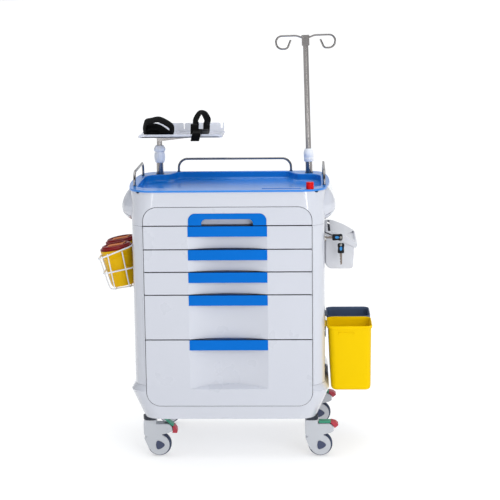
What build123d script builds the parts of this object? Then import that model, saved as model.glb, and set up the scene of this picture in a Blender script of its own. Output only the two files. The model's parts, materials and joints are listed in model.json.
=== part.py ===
from build123d import *
import os

# Emergency (crash) cart, in millimetres.  +X is the cart's right as its user faces the
# drawers, -Y is the drawer front and +Z is up.  Everything is first built about the
# centre of the body, and the last step moves it all so that the origin lies on the
# floor under the middle of the overall box.

# ---- body ------------------------------------------------------------------------
body_half_width = 298.0
body_half_depth = 232.0
corner_radius = 60.0
wall = 4.0
opening_half_width = 260.0
opening_radius = 45.0
front_gap = 1.5
front_thickness = 28.0
shell_seam = 0.6

z_base_bottom = 132.0
z_base_top = 241.0
z_column_top = 745.0
z_shroud_top = 849.5
z_table = 855.5
base_bulge_half_width = 311.0
base_bulge_z = 222.0
grip_half_width = 332.0
grip_z = 784.0

# Seams between the drawer fronts, from the bottom of the opening to its top.
seams = [174.2, 387.8, 529.5, 601.3, 671.9, 745.3, 804.4]
drawer_names = ["drawer_large", "drawer_medium", "drawer_small_c", "drawer_small_b",
                "drawer_small_a", "top_tray"]

# ---- drawers ---------------------------------------------------------------------
scoop_half_width = 122.0
scoop_depth = 22.0
handle_height = 32.0
handle_wall = 4.0
tub_half_width = 236.0
tub_rear = 150.0
tub_wall = 2.0
tub_margin = 7.0
large_scoop_floor = 229.0
tray_runner_lift = 12.0
slide_front = -195.0
slide_rear = 140.0
slide_half_height = 14.0
slide_wall = 2.0
runner_flange = 10.0
runner_web = 6.0
arch_top = 783.5
arch_half_width = 120.0

# ---- tabletop --------------------------------------------------------------------
table_half_width = 316.0
table_half_depth = 236.0
side_bow_radius = 1150.0
recess_left, recess_right = 284.0, 289.0
recess_depth = 25.0
recess_cove = 9.0
recess_rim = 3.0
button_x, button_y = 253.5, -214.0
rail_rod = 4.0
rail_foot = 5.6
rail_top = 898.0
rail_left, rail_right = -293.0, 298.0

# ---- posts -----------------------------------------------------------------------
iv_x, iv_y, iv_lean = 252.0, 177.0, 1.3
defib_x, defib_y = -241.0, 175.0
post_outer, post_bore = 11.3, 9.4
pole_radius = 9.0
collar_z = 893.0
hook_wire = 3.2

# ---- casters ---------------------------------------------------------------------
wheel_radius = 38.1
wheel_width = 23.0
caster_x, caster_y = 255.0, 177.0
caster_trail = 28.0
pedal_hinge = (52.0, 88.0)
pedal_travel = 42.0
hood_half_width = 19.0
hood_disc_radius = 32.5
hood_edge = 1.8
caster_names = ["front_left", "front_right", "rear_left", "rear_right"]

# ---- side fittings ---------------------------------------------------------------
sharps_tilt = 10.0
sharps_foot = (-340.5, 0.0, 534.0)
pot_centres = {"sharps_front": -75.0, "sharps_rear": 55.0}
bin_side = 143.0
bin_height = 209.0
bin_rim_z = 410.0
bin_inner_x = 305.0
bin_centres = {"bin_front": -77.5, "bin_rear": 72.5}
box_front, box_rear = -107.0, 113.0
box_edge = 4.0
lid_margin = 4.0
lid_hinge = (303.5, 706.0)
lid_slope = 25.0
lock_y, lock_z = -150.0, 694.5
key_hole_x = 349.0
spare_hole_z = 671.0
clear = 0.3


def block(x0, x1, y0, y1, z0, z1):
    """A box between two corners."""
    middle = ((x0 + x1) / 2, (y0 + y1) / 2, (z0 + z1) / 2)
    return Pos(*middle) * Box(x1 - x0, y1 - y0, z1 - z0)


def slab(half_width, half_depth, radius, z0, z1):
    """An upright prism with rounded corners."""
    outline = RectangleRounded(2 * half_width, 2 * half_depth, radius)
    return Pos(0, 0, z0) * extrude(outline, amount=z1 - z0)


def bowed_outline(half_width, half_depth, radius):
    """A rounded rectangle whose two sides bow outwards along large arcs."""
    outline = Rectangle(2 * half_width, 2 * half_depth)
    for way in (-1, 1):
        outline = outline & Pos(way * (half_width - side_bow_radius), 0) * Circle(side_bow_radius)
    return fillet(outline.vertices(), radius)


def rod(start, end, radius):
    """A round bar from one point to another."""
    start = Vector(*start)
    run = Vector(*end) - start
    return extrude(Plane(origin=start, z_dir=run.normalized()) * Circle(radius), amount=run.length)


def bent_rod(points, bends, radius, close=False):
    """A round bar along straight runs joined by tangent arcs."""
    path = FilletPolyline(*points, radius=bends, close=close)
    section = Plane(origin=path @ 0, z_dir=path % 0) * Circle(radius)
    return sweep(section, path=path)


def drum(x, y, z0, z1, radius):
    """An upright cylinder."""
    return Pos(x, y, (z0 + z1) / 2) * Cylinder(radius, z1 - z0)


def lofted(levels, inset=0.0):
    """A smooth hull through rounded rectangles given as (z, half width, half depth, radius)."""
    outlines = []
    for z, half_width, half_depth, radius in levels:
        size = (2 * (half_width - inset), 2 * (half_depth - inset))
        outlines.append(Pos(0, 0, z) * RectangleRounded(*size, radius - inset))
    return loft(outlines)


def prism_y(points, bends, y0, y1):
    """A prism along Y from an XZ outline whose corners are rounded."""
    outline = FilletPolyline(*[(x, 0, z) for x, z in points], radius=bends, close=True)
    face = make_face(outline)
    return Pos(0, y0, 0) * extrude(face, amount=y1 - y0, dir=(0, 1, 0))


# ---- body shells -----------------------------------------------------------------
def opening_cut():
    """The drawer opening with its rounded corners, through the front wall."""
    low, high = seams[0], seams[-1]
    outline = RectangleRounded(2 * opening_half_width, high - low, opening_radius)
    cut = extrude(Plane.XZ * outline, amount=60, both=True)
    return Pos(0, -body_half_depth, (low + high) / 2) * cut


def base_shroud():
    """Moulded base: flares under the columns, then tapers to its flat underside."""
    bulge = (base_bulge_z, base_bulge_half_width, 233, 62)
    levels_low = [(z_base_bottom, 271, 225, 56), bulge]
    levels_high = [bulge, (z_base_top, 299, 232, corner_radius)]
    inner_low = [(136, 268, 221, 52), (base_bulge_z, 306, 228, 57)]
    inner_high = [(base_bulge_z, 306, 228, 57), (z_base_top, 294, 228, 56)]
    outer = lofted(levels_low) + lofted(levels_high)
    inner = lofted(inner_low) + lofted(inner_high)
    return outer - inner - opening_cut()


def grip_groove(grip_levels):
    """A shallow crease along both push grips that turns down at its two ends."""
    lower = [(-172, 766), (-126, 788), (126, 788), (172, 766)]
    upper = [(y, z + 4) for y, z in reversed(lower)]
    outline = make_face(Polyline(*[(0, y, z) for y, z in lower + upper], close=True))
    return extrude(outline, amount=400, both=True) - lofted(grip_levels, 3)


def top_shroud():
    """Moulded head of the body, swelling at each side into a push grip."""
    width, depth = body_half_width, body_half_depth
    foot = Pos(0, 0, z_column_top) * RectangleRounded(2 * width, 2 * depth, corner_radius)
    crown = Pos(0, 0, z_shroud_top) * bowed_outline(table_half_width - 3, depth + 1, 78)
    head = loft([foot, crown])
    grip_levels = [(742, 290, 150, 40), (grip_z, grip_half_width, 196, 70), (z_shroud_top, 308, 180, 60)]
    cavity = slab(294, depth - wall, 56, 740, z_shroud_top)
    shell = head + lofted(grip_levels) - grip_groove(grip_levels) - cavity
    return shell - opening_cut() - slab(400, 300, 10, 700, z_column_top)


def corner_columns():
    """Four thin-walled corner mouldings between the base and the head."""
    width, depth = body_half_width, body_half_depth
    low, high = z_base_top + shell_seam, z_column_top - shell_seam
    ring = slab(width, depth, corner_radius, low, high)
    ring -= slab(width - wall, depth - wall, corner_radius - wall, low, high)
    front_right = ring & block(opening_half_width, 320, -250, -125, 200, 800)
    edge = opening_half_width
    front_right += block(edge, edge + 3.5, -depth + wall, -205, low, high)
    front_left = mirror(front_right, about=Plane.YZ)
    lock_hole = Pos(width, lock_y, lock_z) * Rot(0, 90, 0) * Cylinder(8.3, 20)
    rear_right = ring & block(222, 320, 125, 250, 200, 800)
    rear_left = mirror(rear_right, about=Plane.YZ)
    return [front_left, front_right - lock_hole, rear_left, rear_right]


def body_panels():
    """Sheet panels that close the sides and the back, held behind the columns."""
    inner = body_half_width - wall
    right = block(inner - 2, inner, -138, 138, z_base_top, z_column_top + 15)
    left = mirror(right, about=Plane.YZ)
    back_y = body_half_depth - wall
    back = block(-237, 237, back_y - 2, back_y, z_base_top, z_column_top + 15)
    return [left, right, back]


def steel_frame():
    """Welded frame: a floor plate that carries the casters and four uprights for the slides."""
    frame = slab(266, 215, 50, 136, 140)
    for x in (-266, 260):
        for y in (-170, 110):
            frame += block(x, x + 6, y, y + 30, 140, 815)
    return frame


# ---- drawers ---------------------------------------------------------------------
def scoop_radius():
    """Radius of the vertical arc that gives the scoop its width and depth."""
    return (scoop_half_width**2 + scoop_depth**2) / (2 * scoop_depth)


def scoop_plug(z0, z1):
    """The lens-shaped column that fills a finger scoop from its chord to its arc."""
    radius = scoop_radius()
    axis_y = -body_half_depth + scoop_depth - radius
    lens = drum(0, axis_y, z0, z1, radius)
    return lens & block(-200, 200, -body_half_depth, -100, z0, z1)


def drawer_front(z0, z1, low_radius, high_radius):
    """A thick moulded front with rounded outer corners where the opening has them."""
    half = opening_half_width - front_gap
    corners = [(-half, z0), (half, z0), (half, z1), (-half, z1)]
    bends = [low_radius, low_radius, high_radius, high_radius]
    return prism_y(corners, bends, -body_half_depth, -body_half_depth + front_thickness)


def softened(part, y, radius):
    """Round the edges that lie in the plane at this y."""
    return fillet(part.edges().filter_by_position(Axis.Y, y - 0.01, y + 0.01), radius)


def scooped_front(z0, z1, low_radius, scoop_low):
    """A front with a finger scoop down to a sloping floor, or to its lower edge."""
    front = softened(drawer_front(z0, z1, low_radius, 2.0), -body_half_depth, 1.5)
    cut = scoop_plug(scoop_low, z1 + 5)
    if scoop_low > z0:
        near, far = -body_half_depth - 1, -body_half_depth + 25
        slope = Polyline((0, near, scoop_low), (0, far, scoop_low), (0, far, scoop_low + 16), close=True)
        cut -= extrude(make_face(slope), amount=150, dir=(1, 0, 0), both=True)
    return front - cut


def bar_handle(z1):
    """A handle strip that caps the scoop and leaves finger room behind its face."""
    face, half = -body_half_depth, scoop_half_width
    plug = scoop_plug(z1 - handle_height, z1)
    handle = plug + block(-half, half, face - 1, face, z1 - handle_height, z1)
    handle -= block(-half, half, face + handle_wall, face + 40, z1 - 60, z1 - handle_wall)
    return softened(handle, face - 1, 0.8)


def tray_front(z0, z1):
    """The shallow tray's front, pocketed behind its arched handle."""
    front = softened(drawer_front(z0, z1, 2.0, opening_radius - front_gap), -body_half_depth, 1.5)
    face = -body_half_depth
    seat = arch_outline(z0 - 10, arch_top + 0.5, arch_half_width + 0.5, 22.5, face, face + handle_wall)
    pocket = block(-98, 98, face, face + 22, z0 - 1, 774)
    return front - seat - pocket


def arch_outline(z0, z1, half_width, radius, y0, y1):
    """A plate with square lower corners and rounded upper ones."""
    corners = [(-half_width, z0), (half_width, z0), (half_width, z1), (-half_width, z1)]
    return prism_y(corners, [0.5, 0.5, radius, radius], y0, y1)


def arch_handle(z0):
    """The arched pull of the shallow tray, with its finger slot."""
    face = -body_half_depth
    plate = arch_outline(z0, arch_top, arch_half_width, 22.0, face - 1, face + handle_wall - clear)
    slot = arch_outline(z0 - 20, 766.0, 79.0, 14.0, face - 5, face + 10)
    return softened(plate - slot, face - 1, 0.8)


def drawer_tub(z0, z1, slide_z):
    """An open tray with a T-shaped runner along each side at the height of its slides."""
    front = -body_half_depth + front_thickness
    half, inner = tub_half_width, tub_half_width - tub_wall
    tub = block(-half, half, front, tub_rear, z0, z1)
    tub -= block(-inner, inner, front + tub_wall, tub_rear - tub_wall, z0 + tub_wall, z1 + 1)
    runner = block(half, 248, slide_front, slide_rear, slide_z - runner_web, slide_z + runner_web)
    runner += block(248, 255.5, slide_front, slide_rear, slide_z - runner_flange, slide_z + runner_flange)
    return tub + runner + mirror(runner, about=Plane.YZ)


def slide_channel(z):
    """The fixed C channel of one slide, on the right-hand side."""
    outer, inner, slot = slide_half_height, slide_half_height - slide_wall, runner_web + 2
    front, rear = slide_front - 1, slide_rear + 1
    channel = block(245, 260, slide_front, slide_rear, z - outer, z + outer)
    channel -= block(247, 258, front, rear, z - inner, z + inner)
    return channel - block(244, 248, front, rear, z - slot, z + slot)


# ---- tabletop --------------------------------------------------------------------
def recess_outline(offset):
    """The work surface's sunken area, stepped forward round the two post corners."""
    front, rear, step = -178 - offset, 222 + offset, 148 + offset
    shoulder, waist = 212 + offset, 184 + offset
    side, far_side = recess_right + offset, -recess_left - offset
    right = [(side, front), (side, step), (shoulder, step), (waist, rear)]
    left = [(-waist, rear), (-shoulder, step), (far_side, step), (far_side, front)]
    bends = [60, 52, 26, 26, 26, 26, 52, 60]
    return make_face(FilletPolyline(*right, *left, radius=bends, close=True))


def coved_prism(offset, z0, z1):
    """The sunken area's outline as an upright prism with a rounded bottom edge."""
    prism = Pos(0, 0, z0) * extrude(recess_outline(offset), amount=z1 - z0)
    return fillet(prism.edges().filter_by_position(Axis.Z, z0 - 0.01, z0 + 0.01), recess_cove + offset)


def tabletop():
    """Sunken plastic worktop with a flange, a pen groove and holes for both posts."""
    outline = bowed_outline(table_half_width, table_half_depth, 80)
    flange = Pos(0, 0, z_shroud_top) * extrude(outline, amount=z_table - z_shroud_top)
    flange = fillet(flange.edges().filter_by_position(Axis.Z, z_table - 0.01, z_table + 0.01), 2.0)
    floor_z = z_table - recess_depth
    top = flange + coved_prism(3, floor_z - 3, z_shroud_top) - coved_prism(0, floor_z, z_table + 1)
    rim = top.faces().filter_by(Axis.Z).sort_by(Axis.Z)[-1].inner_wires()[0]
    top = fillet(rim.edges(), recess_rim)
    top -= Pos(166, -203, z_table) * Box(120, 14, 8)
    top -= drum(button_x, button_y, 840, 870, 12.4)
    top -= drum(defib_x, defib_y, 800, 870, post_outer + clear)
    return top - leaning(drum(iv_x, iv_y, 800, 870, post_outer + clear))


def guard_rail(start, end, bend):
    """A bent rod rail standing on its two feet."""
    sx, sy = start
    ex, ey = end
    points = [(sx, sy, z_table), (sx, sy, rail_top), (ex, ey, rail_top), (ex, ey, z_table)]
    rail = bent_rod(points, bend, rail_rod)
    for x, y in (start, end):
        rail += drum(x, y, z_table, z_table + 2, rail_foot)
    return rail


def guard_rails():
    """Three low stainless rails: left, right and back."""
    left = guard_rail((rail_left, -120), (rail_left, 134), 26)
    right = guard_rail((rail_right, -120), (rail_right, 134), 26)
    back = guard_rail((-183, 228.4), (192, 228.4), 30)
    return [left, right, back]


# ---- posts and poles -------------------------------------------------------------
def leaning(part):
    """Tip a part of the drip pole sideways about the foot of its post."""
    foot = Location((iv_x, iv_y, z_table))
    return foot * Rot(0, -iv_lean, 0) * foot.inverse() * part


def lower_post(x, y, z_low, z_foot):
    """A fixed tube through the worktop with its round foot plate."""
    tube = drum(x, y, z_low, collar_z + 12, post_outer)
    foot = drum(x, y, z_foot, z_foot + 2, 14)
    return tube + foot - drum(x, y, z_low - 1, 950, post_bore)


def lower_posts():
    """The two fixed tubes that the clamped poles slide in."""
    return [leaning(lower_post(iv_x, iv_y, 420, z_table + 0.5)), lower_post(defib_x, defib_y, 560, z_table)]


def collar(x, y, profile):
    """A turned clamp collar, bored for the post below and for the pole above."""
    outline = [(post_bore - 5, collar_z)] + profile + [(post_bore - 5, profile[-1][1])]
    face = make_face(Polyline(*[(r, 0, z) for r, z in outline], close=True))
    body = revolve(face, axis=Axis.Z)
    bore = drum(0, 0, collar_z - 1, collar_z + 12 + clear, post_outer + clear)
    bore += drum(0, 0, collar_z, profile[-1][1] + 1, pole_radius + clear)
    return Pos(x, y, 0) * (body - bore)


def iv_collar():
    """White clamp collar of the drip pole."""
    z = collar_z
    return leaning(collar(iv_x, iv_y, [(14.5, z), (16, z + 4), (16, z + 32), (12.5, z + 42)]))


def defib_collar():
    """Clamp collar of the monitor arm: a tapered body under a wider nut."""
    z = collar_z
    profile = [(15.5, z), (17.5, z + 6), (16, z + 36), (16, z + 38),
               (18.5, z + 40), (18.5, z + 48), (12.5, z + 57)]
    return collar(defib_x, defib_y, profile)


def iv_hook(side):
    """One curled bottle hook, starting at the head block."""
    points = [(6, 1296), (30, 1305), (96, 1305), (96, 1263), (60, 1263), (48, 1291)]
    path = [(iv_x + side * x, iv_y, z) for x, z in points]
    return bent_rod(path, [30, 20, 20, 12], hook_wire)


def iv_pole():
    """Drip pole: inner tube, head block and two curled hooks."""
    tube = drum(iv_x, iv_y, 640, 1275, pole_radius) - drum(iv_x, iv_y, 639, 1262, pole_radius - 1.5)
    head = Pos(iv_x, iv_y, 1272) * extrude(RectangleRounded(25, 22, 4), amount=34)
    pole = tube + head + iv_hook(-1) + iv_hook(1)
    return leaning(pole)


def defib_post():
    """Upper tube of the monitor arm with its welded support arm and pad."""
    tube = drum(defib_x, defib_y, 640, 980, pole_radius)
    tube -= drum(defib_x, defib_y, 639, 970, pole_radius - 1.5)
    side = Polyline((-245, 150, 966), (-245, 150, 985), (-110, 150, 985), (-110, 150, 981), close=True)
    arm = extrude(make_face(side), amount=12, dir=(0, 1, 0), both=True)
    cap = block(defib_x - 14, defib_x + 14, 146, defib_y + 14, 976, 985)
    pad = block(-225, -110, 110, 190, 983, 985)
    return tube + arm + cap + pad


def defib_tray():
    """Clear monitor tray: a plate with a low front lip and a slit rear wall."""
    x0, x1, y0, y1 = -303, -24, 66, 234
    tray = block(x0, x1, y0, y1, 985, 989)
    tray += block(x0, x1, y0, y0 + 3, 989, 996)
    wall_back = block(x0, x1, y1 - 3, y1, 989, 1018)
    for x, width in ((-160, 6), (-44, 8)):
        wall_back -= block(x, x + width, y1 - 10, y1 + 10, 996, 1030)
    tray += wall_back
    for x in (-262, -218, -122, -76):
        tray -= block(x, x + 5, 96, 134, 980, 1000)
    return tray


def strap_band(x0, x1, z0, z1, bends):
    """A flat webbing loop standing on the tray."""
    outline = [(x0, z0), (x1, z0), (x1, z1), (x0, z1)]
    outer = prism_y(outline, bends, 98, 132)
    shrunk = [(x0 + 4, z0 + 4), (x1 - 4, z0 + 4), (x1 - 4, z1 - 4), (x0 + 4, z1 - 4)]
    inner_bends = [max(bend - 4, 1.0) for bend in bends]
    return outer - prism_y(shrunk, inner_bends, 90, 140)


def defib_straps():
    """Two webbing loops that hold the monitor: a wide low one and a tall one."""
    low = strap_band(-290, -188, 989.6, 1046, [8, 8, 27, 27])
    tall = strap_band(-130, -66, 989.6, 1068, [8, 8, 31, 31])
    return [low, tall]


# ---- side fittings ---------------------------------------------------------------
def tilted(part):
    """Lean a part of the sharps holder outwards, away from the cart's left side."""
    return Location(sharps_foot) * Rot(0, -sharps_tilt, 0) * part


def basket_ring(outer_x, outer_z, inner_x, inner_z, y0, y1):
    """One closed wire of the basket, sloping across its width."""
    points = [(outer_x, y0, outer_z), (inner_x, y0, inner_z),
              (inner_x, y1, inner_z), (outer_x, y1, outer_z)]
    return bent_rod(points, 14, 2.4, close=True)


def sharps_basket():
    """White wire basket for two sharps pots, with its hanger plate."""
    near, far = -132, 112
    basket = basket_ring(-56, 101, 57, 125, near, far)
    basket += basket_ring(-50, 52, 49, 56, near + 4, far - 4)
    for y in (-100, -50, -10, 30, 80):
        ribs = [(-55.5, y, 100), (-42, y, -6), (41, y, -6), (56, y, 124)]
        basket += bent_rod(ribs, [13, 13], 2.0)
    for x in (-23.5, 23.5):
        ribs = [(x, near + 0.5, 113), (x, near + 8, -6), (x, far - 8, -6), (x, far - 0.5, 113)]
        basket += bent_rod(ribs, [13, 13], 2.0)
    basket = tilted(basket)
    inner = -body_half_width + wall
    for y in (-85, 65):
        basket += block(-308.3, inner, y - 9, y + 9, 660, 665)
        basket += block(inner - 3, inner, y - 9, y + 9, 600, 665)
    return basket


def sharps_pot(y):
    """A tapered pot with a rolled rim, and a screwed lid with a drop slot."""
    tub_face = make_face(Polyline((0, 0, 0), (36, 0, 0), (49.5, 0, 112), (51.5, 0, 112), (51.5, 0, 118),
                                  (47.5, 0, 118), (34, 0, 2.5), (0, 0, 2.5), close=True))
    tub = revolve(tub_face, axis=Axis.Z)
    lid_face = make_face(Polyline((0, 0, 118), (50, 0, 118), (50, 0, 124), (44, 0, 129),
                                  (0, 0, 129), close=True))
    lid = revolve(lid_face, axis=Axis.Z) - drum(0, 0, 117, 126, 41)
    lid -= block(-22, 22, -17, 17, 120, 140)
    return [tilted(Pos(0, y, 0) * tub), tilted(Pos(0, y, 0) * lid)]


def sharps_flap(y):
    """The flap over a lid's drop slot, with its hinge barrel on the cart side."""
    plate = block(-26, 27, -20, 20, 129.4, 131.4)
    barrel = Pos(28, 0, 131.6) * Rot(90, 0, 0) * Cylinder(2.2, 38)
    return tilted(Pos(0, y, 0) * (plate + barrel))


def bin_body(y):
    """A tapered waste bin with a rolled rim and a hook that hangs on the rack."""
    centre_x = bin_inner_x + bin_side / 2
    z0 = bin_rim_z - bin_height
    top = RectangleRounded(bin_side - 6, bin_side - 6, 20)
    foot = RectangleRounded(bin_side - 36, bin_side - 26, 18)
    inner_top = RectangleRounded(bin_side - 11, bin_side - 11, 17.5)
    inner_foot = RectangleRounded(bin_side - 41, bin_side - 31, 15.5)
    shell = loft([Pos(0, 0, z0) * foot, Pos(0, 0, bin_rim_z) * top])
    rim = Pos(0, 0, bin_rim_z - 9) * extrude(RectangleRounded(bin_side, bin_side, 22), amount=9)
    shell = shell + rim
    shell -= loft([Pos(0, 0, z0 + 3) * inner_foot, Pos(0, 0, bin_rim_z) * inner_top])
    shell = Pos(centre_x, y, 0) * shell
    hook = block(298.7, bin_inner_x + 1, y - 40, y + 40, bin_rim_z - 7, bin_rim_z - 5)
    return shell + hook + block(298.7, 300, y - 40, y + 40, bin_rim_z - 18, bin_rim_z - 5)


def bin_rack():
    """The strip that both bins hang on, with its stand-off feet."""
    rack = block(300.6, 302.6, -135, 130, 372, bin_rim_z - 7.6)
    inner = body_half_width - wall
    for y in (-110, 105):
        rack += block(inner, 300.6, y - 10, y + 10, 372, 384)
    return rack


def side_box():
    """Small storage box with rounded edges and a sloping mouth, on two mounting feet."""
    outline = [(301, 587), (387, 587), (397, 719), (301, 740)]
    cavity = [(304, 590), (384.3, 590), (390.4, 668), (304, 704)]
    box = softened(prism_y(outline, [21, 9, 5, 5], box_front, box_rear), box_front, box_edge)
    box = softened(box, box_rear, box_edge)
    box -= prism_y(cavity, [18, 6, 1, 1], box_front + 3, box_rear - 3)
    box -= Pos(301, 0, 701) * Rot(0, lid_slope, 0) * block(-20, 130, box_front - 10, box_rear + 10, 0, 80)
    inner = body_half_width - wall
    for y in (-70, 70):
        box += block(inner, 301.5, y - 12, y + 12, 600, 680)
    return box


def side_box_lid():
    """Crowned sloping lid: a hollow hood with a skirt, a facet on top and a hinge barrel."""
    front, rear = box_front - lid_margin, box_rear + lid_margin
    under = [(0, -1.6), (46, -1.6), (52, -9), (107, -9)]
    crown = [(107, 4), (97, 9.5), (60, 13), (20, 10.5), (0, 2.2)]
    hood = prism_y(under + crown, [1.6, 2, 2, 3.5, 5, 8, 30, 20, 1.6], front, rear)
    hood = softened(softened(hood, front, 1.5), rear, 1.5)
    hood -= block(5, 58, front + 2.5, rear - 2.5, -12, 7)
    hood -= block(57, 104.5, front + 2.5, rear - 2.5, -12, 1)
    hood -= lid_facet(front, rear)
    hood += Pos(0, (front + rear) / 2, 0) * Rot(90, 0, 0) * Cylinder(2.5, box_rear - box_front)
    hinge_x, hinge_z = lid_hinge
    return Pos(hinge_x, 0, hinge_z) * Rot(0, lid_slope, 0) * hood


def lid_facet(front, rear):
    """A wedge with a triangular floor that sinks towards the lid's outer edge."""
    apex = (64, front + 34, 12.8)
    near, far = (98, front + 26, 3.6), (98, rear - 14, 3.6)
    lifted = [(x, y, z + 30) for x, y, z in (apex, near, far)]
    floor = make_face(Polyline(apex, near, far, close=True))
    return loft([floor, make_face(Polyline(*lifted, close=True))])


# ---- lock and keys ---------------------------------------------------------------
def key_lock():
    """Cylinder lock through the right front column, with a round keyway."""
    face = body_half_width
    barrel = rod((face - 26, lock_y, lock_z), (face, lock_y, lock_z), 8.0)
    flange = rod((face, lock_y, lock_z), (face + 4.5, lock_y, lock_z), 11.0)
    return barrel + flange - rod((face - 12, lock_y, lock_z), (face + 5, lock_y, lock_z), 4.6)


def key_blank(length, head_length):
    """A key along +X from its tip: a thin blade and a waisted plastic head."""
    blade = block(0, length - head_length + 4, -1.1, 1.1, -3.6, 3.6)
    start, end = length - head_length, length
    waist = (start + end) / 2
    outline = [(start, -10.5), (waist, -9.2), (end, -11.5), (end, 11.5), (waist, 9.2), (start, 10.5)]
    head = prism_y(outline, [4, 30, 5, 5, 30, 4], -2.6, 2.6)
    hole = Pos(end - 5, 0, 0) * Rot(90, 0, 0) * Cylinder(2.4, 10)
    return blade + head - hole


def lock_key():
    """The key in the lock, with the ring that carries its spare."""
    key = Pos(key_hole_x - 63, lock_y, lock_z) * key_blank(68, 32)
    middle = (lock_z + spare_hole_z) / 2
    ring = Pos(key_hole_x, lock_y, middle) * Rot(0, 90, 0) * Torus((lock_z - spare_hole_z) / 2, 0.8)
    return [key, ring]


def spare_key():
    """The spare key hanging from the ring."""
    return Pos(key_hole_x, lock_y, spare_hole_z - 63) * Rot(0, -90, 0) * key_blank(68, 32)


def lock_button():
    """Red push button that locks the drawers, standing in its hole in the worktop."""
    button = drum(button_x, button_y, z_table - 2.4, z_table + 21, 11.8)
    return fillet(button.edges().sort_by(Axis.Z)[-1], 1.6)


# ---- casters ---------------------------------------------------------------------
def caster_mount():
    """Fixed upper race and king pin of one caster."""
    return drum(0, 0, 120, z_base_bottom, 21.5) + drum(0, 0, 98, 120, 6)


def edged(part):
    """Round the edges of both outer sides of a part of the hood."""
    return softened(softened(part, -hood_half_width, hood_edge), hood_half_width, hood_edge)


def caster_fork():
    """Hooded fork about its king pin at x = 0, with the wheel trailing towards +X."""
    centre = (caster_trail, 0, wheel_radius)
    pivot_x, pivot_z = pedal_hinge
    nose = 18.2
    outline = [(-20, 58), (-20, 119), (20, 119), (20, pivot_z + nose), (pivot_x + nose, pivot_z + nose),
               (pivot_x + nose, pivot_z - 5), (pivot_x + 8, pivot_z - 11), (30, 70)]
    hull = [(-20, 62), (40, 75), (caster_trail, wheel_radius), (-3, 22)]
    disc = Pos(*centre) * Rot(90, 0, 0) * Cylinder(hood_disc_radius, 2 * hood_half_width)
    cheeks = prism_y(outline, [16, 6, 2, 2, nose - 0.1, 3, 3, 4], -hood_half_width, hood_half_width)
    hood = edged(cheeks) + edged(disc) + edged(prism_y(hull, 3, -hood_half_width, hood_half_width))
    hood -= Pos(*centre) * Rot(90, 0, 0) * Cylinder(wheel_radius + 2.4, 27)
    hood += Pos(*centre) * Rot(90, 0, 0) * Cylinder(4, 30)
    hood -= block(pivot_x - 8, 90, -10, 10, pivot_z - 12, pivot_z + 30)
    hood += Pos(pivot_x, 0, pivot_z) * Rot(90, 0, 0) * Cylinder(2, 36)
    return hood - drum(0, 0, 90, 120, 6 + clear)


def caster_wheel():
    """Wheel with a crowned tyre and a plain bore, axle along Y at the trail point."""
    half = wheel_width / 2
    shoulder = wheel_radius - 5
    outline = [(4.3, -half), (shoulder, -half), (wheel_radius, -half + 6),
               (wheel_radius, half - 6), (shoulder, half), (4.3, half)]
    path = FilletPolyline(*[(r, y, 0) for r, y in outline], radius=[0.5, 4, 4, 4, 4, 0.5], close=True)
    wheel = revolve(make_face(path), axis=Axis.Y)
    return Pos(caster_trail, 0, wheel_radius) * wheel


def caster_pedal():
    """Rocking lock pedal: a green release tab, and a red foot pad with its hinge tongue."""
    x, z = pedal_hinge
    tab = [(x - 29, z + 25.5), (x + 9, z + 25.5), (x + 9, z + 20), (x - 29, z + 20)]
    green = prism_y(tab, [2, 0.5, 0.5, 1], -13, 13)
    pad = [(x + 9, z + 26), (x + 24, z + 22.5), (x + 34, z + 14), (x + 20, z + 3),
           (x + 19, z + 9), (x + 14, z + 15.5), (x + 9, z + 19.5)]
    red = prism_y(pad, [1.5, 7, 3, 1.5, 2, 2, 0.5], -16, 16)
    tongue = prism_y([(x - 2, z + 3), (x + 14, z + 20), (x + 24, z + 12), (x + 3, z - 3)], 1, -9.4, 9.4)
    tongue += Pos(x, 0, z) * Rot(90, 0, 0) * Cylinder(5.5, 18.8)
    red += tongue
    red -= Pos(x, 0, z) * Rot(90, 0, 0) * Cylinder(2 + clear, 40)
    return [green, red]


# ---- assembly --------------------------------------------------------------------
def drawer_levels(index):
    """Lower and upper edge of one drawer front."""
    return seams[index] + front_gap, seams[index + 1] - front_gap


def slide_level(index):
    """Height of one drawer's slides: its middle, or low down under the opening's round corners."""
    z0, z1 = drawer_levels(index)
    if drawer_names[index] == "top_tray":
        return z0 + tub_margin + tray_runner_lift
    return (z0 + z1) / 2


def drawer_pieces(index):
    """Front, handle and tub of one drawer."""
    z0, z1 = drawer_levels(index)
    tub = drawer_tub(z0 + tub_margin, z1 - tub_margin, slide_level(index))
    if drawer_names[index] == "top_tray":
        return tray_front(z0, z1), arch_handle(z0), tub
    if drawer_names[index] == "drawer_large":
        return scooped_front(z0, z1, opening_radius - front_gap, large_scoop_floor), bar_handle(z1), tub
    return scooped_front(z0, z1, 2.0, z0 - 5), bar_handle(z1), tub


def caster_place(name):
    """Where one caster's king pin stands."""
    x = caster_x if name.endswith("right") else -caster_x
    y = -caster_y if name.startswith("front") else caster_y
    return Pos(x, y, 0)


def slide_channels():
    """The twelve fixed channels, two for each drawer."""
    channels = []
    for index in range(len(drawer_names)):
        right = slide_channel(slide_level(index))
        channels += [right, mirror(right, about=Plane.YZ)]
    return channels


def pedal_pressed(parts):
    """Turn a pedal down about its hinge, as it stands when the brake is on."""
    pivot = Pos(pedal_hinge[0], 0, pedal_hinge[1])
    return [pivot * Rot(0, pedal_travel, 0) * pivot.inverse() * part for part in parts]


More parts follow.
